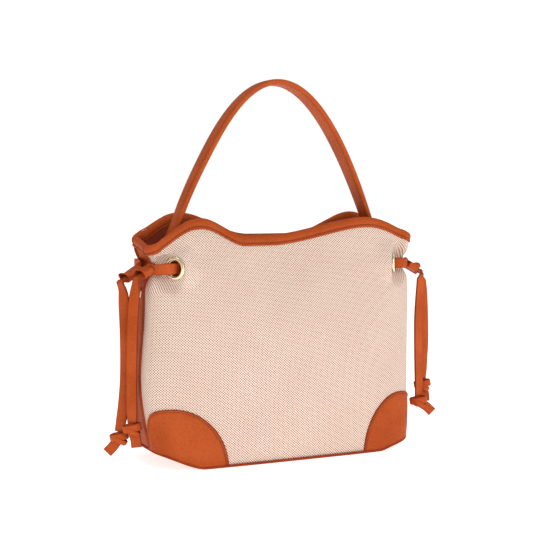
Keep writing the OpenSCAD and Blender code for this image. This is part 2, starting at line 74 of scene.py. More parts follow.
# Degrees that the camera stands to the left of the bag's front
CAMERA_TURN = 25
camera.location = (-0.5111, -1.0736, 0.256)
camera.rotation_euler = (deg(86.607), 0, deg(-CAMERA_TURN))
camera.data.sensor_width = 36
camera.data.lens = 80.31
camera.data.clip_end = 100
bpy.context.scene.camera = camera
bpy.context.scene.view_settings.view_transform = "Standard"

# ---------------------------------------------------------------- the form of the body, as in part.scad

HALF_TOP, BASE_D, MOUTH_D = 143.0, 104.0, 49.0
HUMP_H, DIP_H, END_H, BACK_RISE = 233.5, 216.8, 216.8, 5.0
# Distance of the humps from the middle, and the two ends of the level dip between them
FRONT_RIM, BACK_RIM = (92, -46, -18), (100, -22, 30)
END_LIFT, FLAT_X = 14.0, 95.0
PINCH = 7.0
CANVAS_T, LINING_T, TRIM_T = 1.8, 0.9, 1.2
BINDING_H = 8.7
EYELET_Z, EYELET_X, EYELET_YAW, EYELET_CUT = 188.0, 118.5, deg(54), 8.8
RIVET_Z, RIVET_R = 164.0, 1.7
LINING_OUT = -(CANVAS_T + 0.3)
LINING_IN = LINING_OUT - LINING_T
SEAM_HALF = 1.3
WALL_START, LINING_START = 2.0, 6.2
# Height at which the foot of a wall is measured
FOOT_Z = 20.0


def ease(t):
    c = np.clip(t, 0, 1)
    return c * c * (3 - 2 * c)


def bell(t, width):
    return np.exp(-((t / width) ** 2))


def half_w(z):
    return HALF_TOP - 6 * (1 - np.sin(PI / 2 * np.clip(z / 90, None, 1))) - PINCH * bell(z - EYELET_Z, 12)


def gusset_y(z):
    return 12 + 12 * np.clip(1 - z / EYELET_Z, 0, None)


def seam_y(z):
    return gusset_y(z) + SEAM_HALF


def face_y(z):
    return MOUTH_D / 2 + (BASE_D - MOUTH_D) / 2 * (1 - np.clip(z / HUMP_H, 0, 1) ** 3.3)


def snap_draw(x, z):
    return 10 * bell(x, 45) * ease((z - 120) / 90)


def squareness(z):
    return 4 - 1.4 * np.clip(z / EYELET_Z, None, 1)


def reach(phi, n):
    return (np.abs(np.cos(phi)) ** n + np.abs(np.sin(phi)) ** n) ** (-1 / n)


def lift(x):
    return END_LIFT * np.clip((np.abs(x) - FLAT_X) / 44, 0, None) ** 1.3


def rim_x(phi):
    return HALF_TOP * reach(phi, 3) * np.cos(phi)


def base_x(phi):
    return half_w(WALL_START) * reach(phi, squareness(WALL_START)) * np.cos(phi)


def bottom_at(phi):
    return lift(base_x(phi)) + WALL_START


def rim(side, x):
    """Height of the front (side 1) or back (side -1) rim at x."""
    hump, left, right = BACK_RIM if side < 0 else FRONT_RIM
    high = HUMP_H + (BACK_RISE if side < 0 else 0)
    end = END_H + (high - END_H) * np.cos(PI / 2 * np.clip((np.abs(x) - hump) / (HALF_TOP - hump), 0, 1))
    fall = DIP_H + (high - DIP_H) * np.where(x < left, ease((left - x) / (left + hump)),
                                             ease((x - right) / (hump - right)))
    return np.where(np.abs(x) > hump, end, fall)


def top_at(side, phi):
    return rim(side, rim_x(phi))


def eyelet_at(s):
    n, d = squareness(EYELET_Z), face_y(EYELET_Z) - seam_y(EYELET_Z)
    over = EYELET_X / half_w(EYELET_Z)
    return np.array([s * EYELET_X, -(seam_y(EYELET_Z) + d * (1 - over**n) ** (1 / n)), EYELET_Z])


def eyelet_dir(s):
    return np.array([s * np.sin(EYELET_YAW), -np.cos(EYELET_YAW), 0.0])


def flatten_at(p, d, s):
    c, out = eyelet_at(s), eyelet_dir(s)
    w = 1 - ease((np.linalg.norm(p - c, axis=-1) - 15) / 11)
    return p - (w * ((p - c) @ out - d))[..., None] * out


def folds(x, z):
    """Soft unevenness of the walls, measured out from the face, still at the eyelets and the base."""
    pull = 0.0
    for s in (-1, 1):
        dx, dz = x - s * EYELET_X, z - EYELET_Z
        r = np.hypot(dx, dz)
        away = ease((r - 13) / 14)
        angle = np.arctan2(dz, -s * dx)
        pull = pull + away * bell(r - 26, 26) * (0.5 * np.cos(5 * angle + 0.6) + 0.2 * np.cos(9 * angle))
    slow = 0.9 * np.sin(x / 37 + 0.4) * np.sin(z / 41 + 0.9) + 0.5 * np.sin(x / 17 + z / 29)
    return (pull + slow * ease((z - 18) / 40)) * ease((np.minimum(HALF_TOP + 3 - np.abs(x), 30)) / 26)


def pattern_wall(phi, z, d=0.0, side=1, still=False):
    """A point of the front (side 1) or back (side -1) wall as cut, d out from the canvas face."""
    phi, z, d = np.broadcast_arrays(np.asarray(phi, float), np.asarray(z, float), np.asarray(d, float))
    r = reach(phi, squareness(z))
    x = (half_w(z) + d) * r * np.cos(phi)
    y = -(seam_y(z) + (face_y(z) - snap_draw(x, z) - seam_y(z) + d) * r * np.sin(phi))
    p = np.stack([x, y, z], -1)
    if not still:
        p[..., 1] -= folds(x, z) * np.sin(phi) ** 0.5
    for s in (-1, 1):
        p = flatten_at(p, d, s)
    p[..., 1] *= side
    return p


def wall(phi, z, d=0.0, side=1, still=False):
    """The same point where the soft body has settled; still leaves the folds out."""
    return slump(pattern_wall(phi, z, d, side, still))


def slump(p):
    """How the soft body differs from its pattern: the front left corner of its rim droops, its left side
    bulges, the tops of its short sides open, and the right end of its base is drawn in and sits lower than
    the left one. The gussets stay put round the handle's rivets."""
    p = np.array(p, float)
    x, y, z = p[..., 0], p[..., 1], p[..., 2]
    middle = np.sin(PI * np.clip((z - 10) / 142, 0, 1)) ** 2
    low = 1 - ease((z - 60) / 150)
    foot = 1 - ease(z / 45)
    left, right = ease((-x - 50) / 85), ease((x - 60) / 80)
    widen = 0.22 * ease((z - 165) / 30) * ease((np.abs(x) - 128) / 8)
    droop = 8.5 * ease((-x - 98) / 40) * ease((z - 198) / 12) * ease((22 - y) / 40)
    riveted = np.exp(-(y / 10) ** 2 - ((z - RIVET_Z) / 12) ** 2)
    p[..., 0] = x - (3.6 * middle * left + low * (3.5 * left + 8.0 * right)) * (1 - riveted)
    p[..., 1] = y * (1 + widen)
    p[..., 2] = z - droop + foot * (3.5 * ease((-x - 100) / 40) - 5.0 * ease((x - 100) / 35))
    return p


# ---------------------------------------------------------------- mesh tools


def new_piece(name, verts, faces, uv=None, edge=None):
    mesh = bpy.data.meshes.new(name)
    mesh.from_pydata([tuple(v) for v in np.asarray(verts, float) * MM], [], faces)
    mesh.validate()
    piece = bpy.data.objects.new(name, mesh)
    bpy.context.scene.collection.objects.link(piece)
    mesh.shade_smooth()
    if edge is not None:
        mesh.attributes.new("edge", "FLOAT", "POINT").data.foreach_set("value", np.asarray(edge, np.float32))
    if uv is not None:
        layer = mesh.uv_layers.new(name="cloth")
        index = np.zeros(len(mesh.loops), int)
        mesh.loops.foreach_get("vertex_index", index)
        layer.data.foreach_set("uv", np.asarray(uv, np.float32)[index].ravel())
    return piece


def piece_from(name, b):
    """Turns a bmesh into a piece in the scene and frees it."""
    mesh = bpy.data.meshes.new(name)
    b.to_mesh(mesh)
    b.free()
    piece = bpy.data.objects.new(name, mesh)
    bpy.context.scene.collection.objects.link(piece)
    return piece


def face_out(piece):
    b = bmesh.new()
    b.from_mesh(piece.data)
    bmesh.ops.recalc_face_normals(b, faces=b.faces)
    b.to_mesh(piece.data)
    b.free()
    return piece


def grid_faces(m, n, wrap_m=False, wrap_n=False, base=0):
    faces = []
    for i in range(m if wrap_m else m - 1):
        for j in range(n if wrap_n else n - 1):
            a, b = i * n + j, i * n + (j + 1) % n
            c, d = ((i + 1) % m) * n + j, ((i + 1) % m) * n + (j + 1) % n
            faces.append((base + a, base + b, base + d, base + c))
    return faces


def loft(name, rings, edge=None, closed=False, uv=None):
    """A solid through closed rings of points; closed joins the last ring to the first."""
    rings = np.asarray(rings, float)
    m, n, _ = rings.shape
    faces = grid_faces(m, n, wrap_m=closed, wrap_n=True)
    if not closed:
        faces += [tuple(range(n)), tuple((m - 1) * n + j for j in reversed(range(n)))]
    edge = None if edge is None else np.broadcast_to(edge, (m, n)).ravel()
    return face_out(new_piece(name, rings.reshape(-1, 3), faces, uv=uv, edge=edge))


def slab(name, outer, inner, edge=None, uv=None):
    """A sheet between an outer and an inner grid of points."""
    outer, inner = np.asarray(outer, float), np.asarray(inner, float)
    m, n, _ = outer.shape
    k = m * n
    faces = grid_faces(m, n) + [tuple(reversed(f)) for f in grid_faces(m, n, base=k)]
    for i in range(m - 1):
        for j in (0, n - 1):
            a, b = i * n + j, (i + 1) * n + j
            faces.append((a, b, k + b, k + a) if j == 0 else (b, a, k + a, k + b))
    for j in range(n - 1):
        for i in (0, m - 1):
            a, b = i * n + j, i * n + j + 1
            faces.append((b, a, k + a, k + b) if i == 0 else (a, b, k + b, k + a))
    verts = np.concatenate([outer.reshape(-1, 3), inner.reshape(-1, 3)])
    edge = None if edge is None else np.concatenate([np.ravel(edge), np.ravel(edge)])
    uv = None if uv is None else np.concatenate([uv, uv])
    return face_out(new_piece(name, verts, faces, edge=edge, uv=uv))


def unit(v):
    v = np.asarray(v, float)
    return v / np.maximum(np.linalg.norm(v, axis=-1, keepdims=True), 1e-9)


def smooth_path(pts, step=1.5):
    """A Catmull-Rom curve through the points, resampled evenly."""
    p = np.asarray(pts, float)
    p = np.vstack([2 * p[0] - p[1], p, 2 * p[-1] - p[-2]])
    out = []
    for i in range(1, len(p) - 2):
        t = np.linspace(0, 1, 24, endpoint=False)[:, None]
        a, b, c, d = p[i - 1], p[i], p[i + 1], p[i + 2]
        out.append(0.5 * (2 * b + (c - a) * t + (2 * a - 5 * b + 4 * c - d) * t**2
                          + (3 * b - a - 3 * c + d) * t**3))
    return resample(np.vstack(out + [p[-2][None]]), step)


def arc_length(p):
    return np.concatenate([[0], np.cumsum(np.linalg.norm(np.diff(p, axis=0), axis=1))])


def resample(p, step):
    s = arc_length(p)
    t = np.linspace(0, s[-1], max(3, int(round(s[-1] / step)) + 1))
    return np.stack([np.interp(t, s, p[:, k]) for k in range(p.shape[1])], -1)


def tangents(p):
    return unit(np.gradient(p, axis=0))


def round_rect(w, t, corner, n=5):
    """Section of a strap as (across, through) points, counter-clockwise, with rounded corners."""
    corner = min(corner, t / 2 - 1e-3, w / 2 - 1e-3)
    pts = []
    for cx, cy, start in ((1, 1, 0), (-1, 1, 90), (-1, -1, 180), (1, -1, 270)):
        for a in np.linspace(start, start + 90, n):
            pts.append((cx * (w / 2 - corner) + corner * np.cos(deg(a)),
                        cy * (t / 2 - corner) + corner * np.sin(deg(a))))
    return np.array(pts)


def strap_rings(path, wide, section):
    """Rings of a strap's section along a path, with its width kept near the directions in wide."""
    t = tangents(path)
    wide = np.broadcast_to(wide, path.shape)
    u = unit(wide - (wide * t).sum(-1, keepdims=True) * t)
    v = np.cross(t, u)
    section = np.broadcast_to(section, (len(path),) + np.shape(section)[-2:])
    return path[:, None] + u[:, None] * section[..., :1] + v[:, None] * section[..., 1:]


def section_edge(section):
    """1 on the cut edges of a strap's section, 0 on its faces."""
    w = np.abs(section[:, 0]).max()
    return ease((np.abs(section[:, 0]) - (w - 0.9)) / 0.6)


def add_modifier(piece, kind, **settings):
    m = piece.modifiers.new(kind.lower(), kind)
    for key, value in settings.items():
        setattr(m, key, value)
    return piece


def join(name, parts):
    """Joins meshes in place into one piece and returns it."""
    b = bmesh.new()
    for p in parts:
        b.from_mesh(p.data)
    for p in parts:
        bpy.data.objects.remove(p)
    piece = piece_from(name, b)
    piece.data.shade_smooth()
    return piece


STITCH_PITCH = 3.6


def stitches(name, path, out, pitch=STITCH_PITCH, length=2.6, thick=0.62, sink=0.12):
    """A row of thread stitches along a path that lies on a surface; out is the way off the surface."""
    path = np.asarray(path, float)
    s = arc_length(path)
    count = max(1, int(s[-1] / pitch))
    at = (np.arange(count) + 0.5) * s[-1] / count
    centre = np.stack([np.interp(at, s, path[:, k]) for k in range(3)], -1)
    t_all = tangents(path)
    out = np.broadcast_to(out, path.shape)
    t = unit(np.stack([np.interp(at, s, t_all[:, k]) for k in range(3)], -1))
    o = np.stack([np.interp(at, s, out[:, k]) for k in range(3)], -1)
    o = unit(o - (o * t).sum(-1, keepdims=True) * t)
    b = np.cross(t, o)
    along = np.array([-0.5, -0.4, -0.15, 0.15, 0.4, 0.5]) * length
    grow = np.array([0.25, 0.8, 1.0, 1.0, 0.8, 0.25])
    dip = np.array([-0.3, -0.05, 0.0, 0.0, -0.05, -0.3])
    ang = np.arange(6) * PI / 3
    verts, faces = [], []
    for c, tt, oo, bb in zip(centre, t, o, b):
        base = len(verts)
        for a, g, dd in zip(along, grow, dip):
            for w in ang:
                verts.append(c + tt * a + oo * (dd - sink + thick / 2 * g * np.sin(w))
                             + bb * (thick / 2 * 1.15 * g * np.cos(w)))
        faces += grid_faces(6, 6, wrap_n=True, base=base)
        faces += [tuple(base + j for j in range(6)), tuple(base + 30 + j for j in reversed(range(6)))]
    return face_out(new_piece(name, verts, faces))


# ---------------------------------------------------------------- materials


def shader(name):
    m = bpy.data.materials.new(name)
    m.use_nodes = True
    tree = m.node_tree
    return m, tree, tree.nodes["Principled BSDF"]


def node(tree, kind, inputs=None, **settings):
    n = tree.nodes.new(kind)
    for key, value in settings.items():
        setattr(n, key, value)
    for key, value in (inputs or {}).items():
        if isinstance(value, bpy.types.NodeSocket):
            tree.links.new(value, n.inputs[key])
        else:
            n.inputs[key].default_value = value
    return n


def math(tree, op, a, b=None, c=None):
    inputs = {0: a}
    if b is not None:
        inputs[1] = b
    if c is not None:
        inputs[2] = c
    return node(tree, "ShaderNodeMath", inputs, operation=op).outputs[0]


def mix(tree, factor, a, b):
    n = node(tree, "ShaderNodeMix", data_type="RGBA")
    for key, value in ((0, factor), (6, a), (7, b)):
        if isinstance(value, bpy.types.NodeSocket):
            tree.links.new(value, n.inputs[key])
        else:
            n.inputs[key].default_value = value
    return n.outputs[2]


def scale_to(tree, value, low, high):
    return node(tree, "ShaderNodeMapRange", {0: value, 1: low, 2: high}).outputs[0]


def noise(tree, place, scale, detail):
    return node(tree, "ShaderNodeTexNoise", {"Vector": place, "Scale": scale, "Detail": detail}).outputs[0]


def roughen(tree, bsdf, height, strength, distance):
    """Bumps the surface by a height; the distance is in metres."""
    bump = node(tree, "ShaderNodeBump", {"Height": height, "Strength": strength, "Distance": distance})
    tree.links.new(bump.outputs[0], bsdf.inputs["Normal"])


def rgb(code):
    """A linear colour from a hex code."""
    c = [int(code[i:i + 2], 16) / 255 for i in (1, 3, 5)]
    return tuple(v / 12.92 if v <= 0.04045 else ((v + 0.055) / 1.055) ** 2.4 for v in c) + (1,)


def leather(name, light, dark, edge, roughness=0.46, grain=0.09, edge_share=1.0):
    """Full-grain leather: fine pebbled grain, slow change of tone, and darker sealed edges; the same dark
    tone also paints shade into stitched grooves, creased seams and the keepers' slots.
    """
    m, tree, bsdf = shader(name)
    place = node(tree, "ShaderNodeTexCoord").outputs["Object"]
    slow = noise(tree, place, 28.0, 3.0)
    fine = noise(tree, place, 420.0, 4.0)
    pebble = node(tree, "ShaderNodeTexVoronoi", {"Vector": place, "Scale": 1150.0}).outputs[0]
    tone = mix(tree, scale_to(tree, slow, 0.35, 0.65), rgb(light), rgb(dark))
    tone = mix(tree, math(tree, "MULTIPLY", scale_to(tree, fine, 0.45, 0.75), 0.22), tone, rgb(edge))
    # The edge attribute darkens the sealed cut edges and also carries painted shade in stitched grooves, the
    # handle's creased seams and the keepers' slots
    edge_and_shade_mask = node(tree, "ShaderNodeAttribute", attribute_name="edge").outputs["Fac"]
    tone = mix(tree, math(tree, "MULTIPLY", edge_and_shade_mask, 0.62 * edge_share), tone, rgb(edge))
    tree.links.new(tone, bsdf.inputs["Base Color"])
    rough = math(tree, "MULTIPLY_ADD", fine, 0.22, roughness - 0.11)
    tree.links.new(rough, bsdf.inputs["Roughness"])
    height = math(tree, "MULTIPLY_ADD", fine, 0.6, math(tree, "MULTIPLY", pebble, 0.8))
    roughen(tree, bsdf, height, grain, 0.0006)
    bsdf.inputs["Specular IOR Level"].default_value = 0.15
    bsdf.inputs["IOR"].default_value = 1.3
    return m


def woven(name, ground, thread, pitch_u, pitch_v, share, lean, ridge):
    """Two-tone plain weave on the cloth's own coordinates, in millimetres."""
    m, tree, bsdf = shader(name)
    uv = node(tree, "ShaderNodeUVMap", uv_map="cloth").outputs[0]
    slub = noise(tree, uv, 0.35, 3.0)
    axes = node(tree, "ShaderNodeSeparateXYZ", {0: uv})
    u = math(tree, "MULTIPLY_ADD", slub, 0.25, axes.outputs[0])
    v = math(tree, "MULTIPLY_ADD", slub, 0.25, axes.outputs[1])
    au, av = math(tree, "MULTIPLY", u, 2 * PI / pitch_u), math(tree, "MULTIPLY", v, 2 * PI / pitch_v)
    check = math(tree, "MULTIPLY", math(tree, "SINE", au), math(tree, "SINE", av))
    twill = math(tree, "SINE", math(tree, "SUBTRACT", av, au))
    over = math(tree, "MULTIPLY_ADD", twill, lean, check)
    cover = scale_to(tree, over, share - 0.25, share + 0.3)
    patchy = noise(tree, uv, 0.02, 2.0)
    patches = math(tree, "MULTIPLY", scale_to(tree, patchy, 0.4, 0.6), 0.35)
    base = mix(tree, patches, rgb(ground[0]), rgb(ground[1]))
    colour = mix(tree, cover, base, rgb(thread))
    tree.links.new(colour, bsdf.inputs["Base Color"])
    fibre = noise(tree, uv, 3.0, 4.0)
    height = math(tree, "MULTIPLY_ADD", fibre, 0.5, math(tree, "MULTIPLY", over, ridge))
    roughen(tree, bsdf, height, 0.35, 0.0004)
    bsdf.inputs["Roughness"].default_value = 0.86
    bsdf.inputs["Sheen Weight"].default_value = 0.18
    bsdf.inputs["Sheen Roughness"].default_value = 0.5
    bsdf.inputs["Specular IOR Level"].default_value = 0.2
    return m


def metal(name, light, dark, roughness):
    m, tree, bsdf = shader(name)
    place = node(tree, "ShaderNodeTexCoord").outputs["Object"]
    slow = noise(tree, place, 180.0, 3.0)
    fine = noise(tree, place, 2600.0, 2.0)
    tone = mix(tree, scale_to(tree, slow, 0.35, 0.65), rgb(light), rgb(dark))
    tree.links.new(tone, bsdf.inputs["Base Color"])
    tree.links.new(math(tree, "MULTIPLY_ADD", fine, 0.12, roughness - 0.05), bsdf.inputs["Roughness"])
    roughen(tree, bsdf, fine, 0.05, 0.0001)
    bsdf.inputs["Metallic"].default_value = 1.0
    return m


def plain_fibre(name, light, dark, scale, roughness=0.8):
    """Thread, board and padding: fine fibres in two close tones."""
    m, tree, bsdf = shader(name)
    place = node(tree, "ShaderNodeTexCoord").outputs["Object"]
    fine = noise(tree, place, scale, 4.0)
    tone = mix(tree, scale_to(tree, fine, 0.35, 0.65), rgb(light), rgb(dark))
    tree.links.new(tone, bsdf.inputs["Base Color"])
    roughen(tree, bsdf, fine, 0.3, 0.0002)
    bsdf.inputs["Roughness"].default_value = roughness
    return m


LEATHER = leather("leather", "#BC5627", "#AE4B1F", "#5E1A06", roughness=0.5)
LACE = leather("lace_leather", "#C25829", "#B24C1E", "#6E2008", roughness=0.48)
PIPING = leather("piping_leather", "#B04820", "#983A1A", "#6A2410", roughness=0.5)
CANVAS = woven("canvas", ("#F8E2D1", "#F2D8C6"), "#7C361A", 2.7, 2.4, 0.3, 0.42, 0.7)
LINING = woven("lining_cloth", ("#A84424", "#983A1C"), "#7E2C14", 0.9, 0.9, 0.2, 0.0, 0.4)
BRASS = metal("pale_gold", "#F6EBCB", "#E8D8AC", 0.2)
THREAD = plain_fibre("thread", "#9A3C1A", "#7A2A10", 2500.0, 0.6)
BOARD = plain_fibre("board", "#8A7460", "#6E5A48", 700.0)


def finish_piece(piece, material, body, nodes=()):
    """Gives a piece its material and slot, hides the CAD nodes it stands for, and hangs it on its body."""
    piece.data.materials.clear()
    piece.data.materials.append(material)
    if nodes:
        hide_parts(*nodes)
    if body:
        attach(piece, body)
    return piece


# ---------------------------------------------------------------- hanging laces and their knots

YAW, DIP = deg(14), deg(30)
KEEPER_LEN, KEEPER_SLIDE, CHANNEL_GAP, BACK_MORE = 9.0, 4.0, 18.0, 8.0
KEEPER_BACK = -KEEPER_LEN - 1.5
KEEPER_DIR = np.array([np.cos(YAW) * np.cos(DIP), -np.sin(YAW) * np.cos(DIP), -np.sin(DIP)])
KEEPER_WIDE = np.array([np.sin(YAW), np.cos(YAW), 0.0])
LACE_W, LACE_T = 10.5, 2.4
LACE_END = KEEPER_SLIDE + 0.5
STRAND_TOP = LACE_END + 1.1
MOUTH = {"left": np.array([149.5, -20.5, 181.8])}
MOUTH["right"] = MOUTH["left"] + 2 * KEEPER_DIR
FLIP = {"left": np.array([-1.0, 1, 1]), "right": np.array([1.0, 1, 1])}
SIGN = {"left": -1, "right": 1}


def own_reach(k):
    """How much further out a channel reaches than the front one does."""
    return BACK_MORE if k > 0 else 0.0


def in_channel(side, k, away):
    """On the middle line of a keeper's front (k -1) or back (k 1) channel; drawn for the right side."""
    return MOUTH[side] + (CHANNEL_GAP * KEEPER_WIDE if k > 0 else 0.0) + (away + own_reach(k)) * KEEPER_DIR


# Routes of the hanging ends, in millimetres, drawn for the right side: the same points as in part.scad
ROUTES = {
    "left_front": (-1, [[155.6, -21.3, 168], [157, -19.8, 148], [157.8, -19.2, 128], [158.2, -18.2, 102],
                        [158.2, -17.4, 77], [158, -16.8, 57], [157.5, -16, 43]]),
    "left_back": (1, [[162.5, -7, 165], [161.2, -6, 148], [160.2, -5, 128], [159.6, -4, 102],
                      [160, -3, 77], [162.2, -2, 52], [165, 0, 32.5]]),
    "right_front": (-1, [[155.8, -22.5, 168], [154.6, -22, 150], [154, -21, 128], [154.8, -20, 102],
                         [156, -19, 77], [157.2, -18, 59], [157.5, -17, 46.5]]),
    "right_back": (1, [[168.5, -6, 163], [171.2, -4, 150], [173.5, -2, 128], [174.6, -1, 102],
                       [174.2, 0, 80], [173.8, 1, 60.5]]),
}
# The hanging ends turn their flat side to the front as they go down
HANG = {"left": np.array([np.sin(deg(55)), np.cos(deg(55)), 0]),
        "right": np.array([np.sin(deg(78)), np.cos(deg(78)), 0])}
# How far down each lace its flat side takes to turn
TURN_OVER = {"left": 24, "right": 10}
# The cut tail of each knot: its length, and its lean in degrees, to the right in the picture where positive
TAIL_LEN = 17
KNOT_LEAN = {"left_front": 12, "left_back": -38, "right_front": 52, "right_back": 10}


def knot(name, top, lean, seed):
    """An overhand knot in a flat lace: a turn wrapped across, one slanting over it, and a cut tail.
    Its local x runs along the picture, y away from the viewer, z up."""
    r = np.random.default_rng(seed)
    right = np.array([np.cos(deg(-CAMERA_TURN)), np.sin(deg(-CAMERA_TURN)), 0.0])
    away = np.array([-right[1], right[0], 0.0])
    up = np.array([0, 0, 1.0])

    def put(p):
        p = np.asarray(p, float)
        return top + p[..., :1] * right + p[..., 1:2] * away + p[..., 2:] * up

    parts = []
    # Body of the knot: the bundle inside the wraps
    a = np.linspace(0, 2 * PI, 20, endpoint=False)
    rings = []
    for t in np.linspace(-1, 1, 9):
        s = np.sqrt(1 - 0.86 * t * t)
        rings.append(np.stack([6.6 * s * np.cos(a), 4.4 * s * np.sin(a), np.full(20, -6.5 + 5.6 * t)], -1))
    parts.append(loft(name + "_a", put(np.array(rings)), edge=0.25))
    # The wrapped turns: closed straps round the bundle
    for tilt, width, rx, ry, drop in ((r.uniform(8, 12), 7.6, 8.0, 5.4, -5.2),
                                      (-32, 5.6, 7.2, 5.9, -7.8)):
        b = np.linspace(0, 2 * PI, 40, endpoint=False)
        loop = np.stack([rx * np.cos(b), ry * np.sin(b), np.zeros(40)], -1)
        ct, st = np.cos(deg(tilt)), np.sin(deg(tilt))
        turn = np.array([[ct, 0, -st], [0, 1, 0], [st, 0, ct]])
        loop = loop @ turn.T + [0, 0, drop]
        normal = unit(np.stack([np.cos(b) / rx, np.sin(b) / ry, np.zeros(40)], -1)) @ turn.T
        axis = turn @ np.array([0, 0, 1.0])
        sec = round_rect(width, 2.3, 1.1, 4)
        crown = 0.9 * (1 - (sec[:, 0] / (width / 2)) ** 2)
        ring = loop[:, None] + axis * sec[:, :1] + normal[:, None] * (sec[:, 1:] + crown[:, None] - 0.5)
        parts.append(loft(name + "_b", put(ring), edge=np.tile(section_edge(sec), (40, 1)), closed=True))
    # The cut tail
    cl, sl = np.sin(deg(lean)), np.cos(deg(lean))
    start = np.array([cl * 2, 0.4, -7.5])
    end = start + np.array([cl, 0.05, -sl]) * TAIL_LEN
    mid = (start + end) / 2 + np.array([sl, 0.0, cl]) * 0.8
    path = smooth_path([start, mid, end], 1.5)
    sec = round_rect(LACE_W - 0.6, 2.2, 0.8, 4)
    tail = strap_rings(path, np.array([sl, 0.0, cl]), sec)
    parts.append(loft(name + "_c", put(tail), edge=np.tile(section_edge(sec), (len(path), 1))))
    return join(name, parts)


def hanging_lace(key):
    """One lace from inside its keeper channel down to its knot; it bends at the keeper's mouth."""
    side = key.split("_")[0]
    k, route = ROUTES[key]
    start = [in_channel(side, k, a) for a in (-KEEPER_LEN * 0.6, -1.0, STRAND_TOP * 0.55, STRAND_TOP)]
    path = smooth_path(np.array(start + route, float) * FLIP[side], 1.6)
    s = arc_length(path)
    hinge = s[np.argmin(np.linalg.norm(path - start[-1] * FLIP[side], axis=1))]
    turn = ease((s - hinge + 0.5) / TURN_OVER[side])[:, None]
    wide = unit(((1 - turn) * KEEPER_WIDE + turn * HANG[side]) * FLIP[side])
    share = s / s[-1]
    sec = round_rect(LACE_W, LACE_T, 0.9, 5)
    sections = np.repeat(sec[None], len(path), 0)
    # The lace narrows a little as it goes into its knot and cups along its length
    sections[..., 0] *= (1 - 0.14 * ease((share - 0.9) / 0.1))[:, None]
    sections[..., 1] += 0.35 * (sections[..., 0] / (LACE_W / 2)) ** 2
    rings = strap_rings(path, wide, sections)
    strand = loft(key + "_lace_end", rings, edge=np.tile(section_edge(sec), (len(path), 1)))
    body = key + "_tail"
    finish_piece(strand, LACE, None, [key + "_strand"])
    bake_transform(strand)
    tied = knot(key + "_tied_knot", path[-1] + [0, 0, 0.5], KNOT_LEAN[key], len(key))
    finish_piece(tied, LACE, body, [key + "_knot"])
    return strand


for lace_key in ROUTES:
    hanging_lace(lace_key)


# ---------------------------------------------------------------- canvas walls and lining

COLS, ROWS = 241, 121
PHIS = np.linspace(0, PI, COLS)


def wall_grid(side, d, rows=ROWS, low=None, high=None, phis=PHIS):
    """Points, and their place on the flat cloth, of a layer of wall."""
    low = bottom_at(phis) if low is None else low
    high = top_at(side, phis) if high is None else high
    t = np.linspace(0, 1, rows)[None, :]
    z = np.broadcast_to(low, phis.shape)[:, None] * (1 - t) + np.broadcast_to(high, phis.shape)[:, None] * t
    p = wall(phis[:, None], z, d, side)
    # Cloth coordinates by the true distance along each row, from the middle of the panel
    across = np.vstack([np.zeros(len(p[0])), np.cumsum(np.linalg.norm(np.diff(p, axis=0), axis=-1), axis=0)])
    uv = np.stack([across - across[len(across) // 2], z], -1)
    return p, uv.reshape(-1, 2)


def eyelet_axis(side, s):
    c, out = eyelet_at(s), eyelet_dir(s)
    return c * [1, side, 1], out * [1, side, 1]


def cloth_layer(name, p, uv, thickness, cut=None, side=1):
    """A cloth sheet with its outer face at p, with round holes cut at the eyelets."""
    m, n, _ = p.shape
    faces = grid_faces(m, n)
    if cut is not None:
        middle = (p[:-1, :-1] + p[1:, 1:] + p[:-1, 1:] + p[1:, :-1]).reshape(-1, 3) / 4
        keep = np.ones(len(middle), bool)
        for s in (-1, 1):
            c, out = eyelet_axis(side, s)
            away = middle - c
            off = away - (away @ out)[:, None] * out
            keep &= np.linalg.norm(off, axis=1) > cut
        faces = [f for f, k in zip(faces, keep) if k]
    piece = new_piece(name, p.reshape(-1, 3), faces, uv=uv)
    b = bmesh.new()
    b.from_mesh(piece.data)
    bmesh.ops.delete(b, geom=[v for v in b.verts if not v.link_faces], context="VERTS")
    b.normal_update()
    # The face normal points out of the bag
    b.faces.ensure_lookup_table()
    f = b.faces[len(b.faces) // 2]
    if f.normal.y * side > 0:
        bmesh.ops.reverse_faces(b, faces=b.faces)
    b.to_mesh(piece.data)
    b.free()
    add_modifier(piece, "SOLIDIFY", thickness=thickness * MM, offset=-1)
    return piece


for side, word in ((1, "front"), (-1, "back")):
    p, uv = wall_grid(side, 0.0)
    panel = cloth_layer(word + "_canvas", p, uv, CANVAS_T, cut=EYELET_CUT, side=side)
    finish_piece(panel, CANVAS, "root", [word + "_panel"])
    p, uv = wall_grid(side, LINING_OUT, 91, low=bottom_at(PHIS) + LINING_START - WALL_START)
    lining = cloth_layer(word + "_inner_cloth", p, uv, LINING_T, cut=EYELET_CUT, side=side)
    finish_piece(lining, LINING, "root", [word + "_lining"])


# ---------------------------------------------------------------- gussets

SIDE_LIFT = lift(half_w(FOOT_Z))


def gusset_dent(y, z, side):
    """How far a gusset folds inward: hollow above the rivet, and a soft crease below it."""
    half = gusset_y(z)
    hollow = 1.8 * np.cos(PI / 2 * np.clip(y / half, -1, 1)) * bell(z - 203, 13)
    crease = 3.0 * bell(y + 3.0 * side, 7) * ease((150 - z) / 50) * ease((z - SIDE_LIFT - 2) / 40)
    edge = np.cos(PI / 2 * np.clip(y / half, -1, 1)) ** 0.6
    return (hollow + crease) * edge


def gusset_grid(side, d, start, below, cols=41, rows=121, inset=SEAM_HALF):
    z = np.linspace(SIDE_LIFT + start, END_H - below, rows)[None, :]
    t = np.linspace(1, -1, cols)[:, None]
    y = t * (gusset_y(z) - inset)
    x = half_w(z) + d - gusset_dent(y, z, side)
    p = np.stack(np.broadcast_arrays(side * x, y, z), -1)
    uv = np.stack(np.broadcast_arrays(y, z), -1).reshape(-1, 2)
    return slump(p), uv


